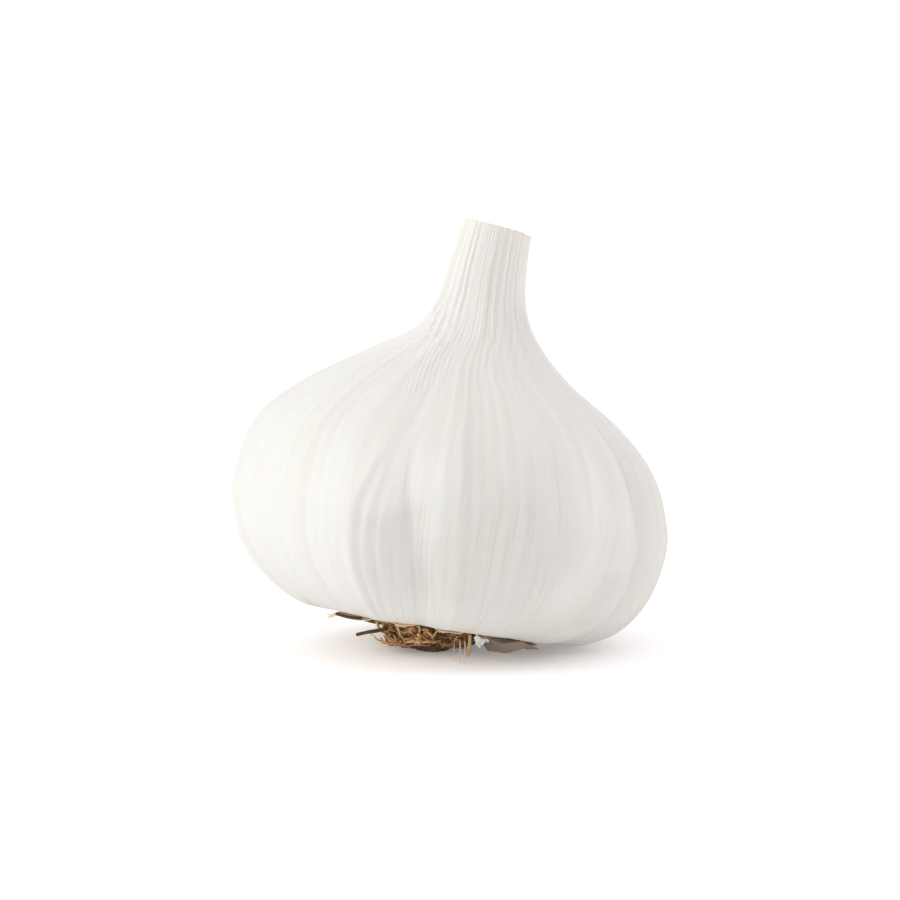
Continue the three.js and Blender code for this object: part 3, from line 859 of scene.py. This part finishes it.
STRAYS = [  # radius, tone and the route: four dark stubs, a pale stub and three pale hairs
    (0.25, 0.0, [(-9.6, -7.2, -0.35), (-10.8, -7.7, -0.45), (-12.0, -8.0, -0.4), (-13.1, -8.2, -0.2)]),
    (0.3, 0.0, [(-6, -2.8, -1.3), (-7.2, -3.2, -1.75), (-8.6, -3.7, -2.2), (-9.9, -4.2, -2.7)]),
    (0.3, 0.12, [(3.5, 5, -0.4), (4.8, 6.8, -0.6), (5.5, 8.6, -0.9), (5.2, 11, -1.1)]),
    (0.32, 0.12, [(-3, 4.4, -0.4), (-5.2, 6.4, -0.8), (-7.6, 7.0, -0.9), (-9.6, 6.2, -0.7)]),
    (0.24, 0.93, [(5.1, -5.6, -0.4), (5.2, -5.9, -1.4), (5.15, -6.1, -2.3), (5.35, -6.3, -3.2)]),
    (0.13, 1.0, [(3.9, -4.2, -1.2), (4.1, -6.0, -2.6), (4.0, -8.2, -3.6), (4.3, -11.2, -4.15)]),
    (0.12, 1.0, [(4.5, -4.4, -1.2), (4.8, -6.2, -2.5), (4.6, -8.4, -3.4), (4.8, -10.6, -4.0)]),
    (0.1, 1.0, [(3.2, -4.0, -1.6), (3.3, -5.4, -2.8), (2.9, -7.4, -3.7), (3.2, -9.6, -4.0)]),
]
stray_size, stray_shade, stray_knots = zip(*STRAYS)
stray_paths = np.stack([curve_through(knots, np.linspace(0, 3, ROOT_RINGS)) for knots in stray_knots])
stray_radius = np.array(stray_size)[:, None] * np.linspace(1, 0.8, ROOT_RINGS)[None]
stray_roots = tubes_object("stray_roots", tube_spots(stray_paths, stray_radius))
stray_tone = np.array(stray_shade)[:, None, None] * np.ones((1, ROOT_RINGS, ROOT_SIDES))
add_attribute(stray_roots, "tone", "FLOAT", stray_tone)
stray_roots.data.materials.append(root_plate.data.materials[0])
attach(stray_roots, "root")
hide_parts("root_tuft")

# Two dry scraps of skin right of the roots: a crumpled brown-grey one with a dark upper edge, and a small
# white one that hangs between it and the roots. Both are bits of old skin, still caught under the bulb.
SCRAPS = [  # name, place and shape in scrap_surface's order, its colour and the colour of its edge
    ("brown_scrap", (7.3, 13.8, 0.0, -2.3, 9.2, 8.0, 0.3, 81), (0.42, 0.33, 0.26), (0.09, 0.06, 0.04)),
    ("white_scrap", (5.75, 7.8, -0.3, -1.6, 7.0, 0.2, 0.05, 85), (0.97, 0.96, 0.94), (0.93, 0.90, 0.86)),
]
SCRAP_ROWS = 12
SCRAP_COLUMNS = 40
SCRAP_ABOVE = 0.06  # it comes no nearer to the table than this
SCRAP_CEILING = 0.25
SCRAP_WALL = 0.08


def scrap_surface(left, right, top, bottom, in_front, back, crumple, seed):
    """A crumpled sheet seen from the front: it runs from left to right, its top edge rises and falls one
    and a half times by a fifth of a millimetre, and it narrows towards its ends. It leans back under
    the bulb as it goes down, and stops at the table."""
    across, down = np.meshgrid(np.linspace(0, 1, SCRAP_COLUMNS), np.linspace(0, 1, SCRAP_ROWS))
    x = left + (right - left) * (across + 0.07 * wander(3 * down, across, 3, 1, seed + 2))
    narrow = 1 - 0.6 * smooth(across, 0.5, 1.0) - 0.3 * (1 - smooth(across, 0, 0.25))
    wavy = 0.2 * np.cos(3 * math.pi * across - 0.6) + 0.07 * wander(3 * across, 0 * across, 9, 1, seed)
    z = top + wavy - (top - bottom) * narrow * down
    y = -in_front + back * down**1.3 + crumple * wander(2.5 * across, down, 5, 1, seed + 1)
    return held_in(np.stack([x, y, z], -1), SCRAP_ABOVE, SCRAP_CEILING), across, down


for name, shape, colour, edge_colour in SCRAPS:
    spots, across, down = scrap_surface(*shape)
    scrap = sheet_mesh(name, spots[::-1], columns_close=False)[0]
    scrap_around = np.stack([across * 0.3, 0 * across, down * 2], -1)
    scrap_edge = np.maximum(1 - smooth(down, 0.12, 0.34), 0.6 - 0.6 * smooth(across, 0.0, 0.2))
    add_attribute(scrap, "around", "FLOAT_VECTOR", scrap_around[::-1])
    add_attribute(scrap, "tan", "FLOAT", scrap_edge[::-1])
    thicken(scrap, SCRAP_WALL)
    scrap.data.materials.append(dry_scrap_material(name, colour, edge_colour))
    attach(scrap, "root")
    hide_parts("root_tuft")

# The studio: a seamless white table, an even white room and one broad soft lamp at the left, a little
# above and in front. The camera looks slightly down from the front. All of this is in metres.
LAMP_WIDTH = math.radians(40)
LAMP_TILT = math.radians(66)
LAMP_TURN = math.radians(-72)
CAMERA_DISTANCE = 0.7
CAMERA_RISE = math.radians(8)
AIM_RIGHT = 0.0029
AIM_UP = 0.0272

floor_mesh = bpy.data.meshes.new("floor")
floor_mesh.from_pydata([(-4, -4, 0), (4, -4, 0), (4, 8, 0), (-4, 8, 0)], [], [(0, 1, 2, 3)])
floor = bpy.data.objects.new("floor", floor_mesh)
bpy.context.scene.collection.objects.link(floor)
floor_white, _, floor_shader = new_material("floor_white")
floor_shader.inputs["Base Color"].default_value = (0.905, 0.9, 0.91, 1)
floor_shader.inputs["Roughness"].default_value = 0.9
floor_shader.inputs["Specular IOR Level"].default_value = 0.1
floor_shader.inputs["Emission Color"].default_value = (1, 0.985, 0.985, 1)
floor_shader.inputs["Emission Strength"].default_value = 0.17
floor_mesh.materials.append(floor_white)

room = bpy.data.worlds.new("room")
room.use_nodes = True
room_light = room.node_tree.nodes["Background"]
room_light.inputs["Color"].default_value = (1, 0.975, 0.975, 1)
room_light.inputs["Strength"].default_value = 1.15
bpy.context.scene.world = room

lamp_light = bpy.data.lights.new("lamp", "SUN")
lamp_light.energy = 1.02
lamp_light.color = (0.9, 1, 0.985)
lamp_light.angle = LAMP_WIDTH
lamp = bpy.data.objects.new("lamp", lamp_light)
lamp.rotation_euler = (LAMP_TILT, 0, LAMP_TURN)
bpy.context.scene.collection.objects.link(lamp)

camera_data = bpy.data.cameras.new("camera")
camera_data.sensor_width = 36
camera_data.lens = 209
camera_data.clip_end = 20
camera = bpy.data.objects.new("camera", camera_data)
camera.location = (
    AIM_RIGHT,
    -CAMERA_DISTANCE * math.cos(CAMERA_RISE),
    AIM_UP + CAMERA_DISTANCE * math.sin(CAMERA_RISE),
)
camera.rotation_euler = (math.pi / 2 - CAMERA_RISE, 0, 0)
bpy.context.scene.collection.objects.link(camera)
bpy.context.scene.camera = camera
bpy.context.scene.view_settings.view_transform = "Standard"
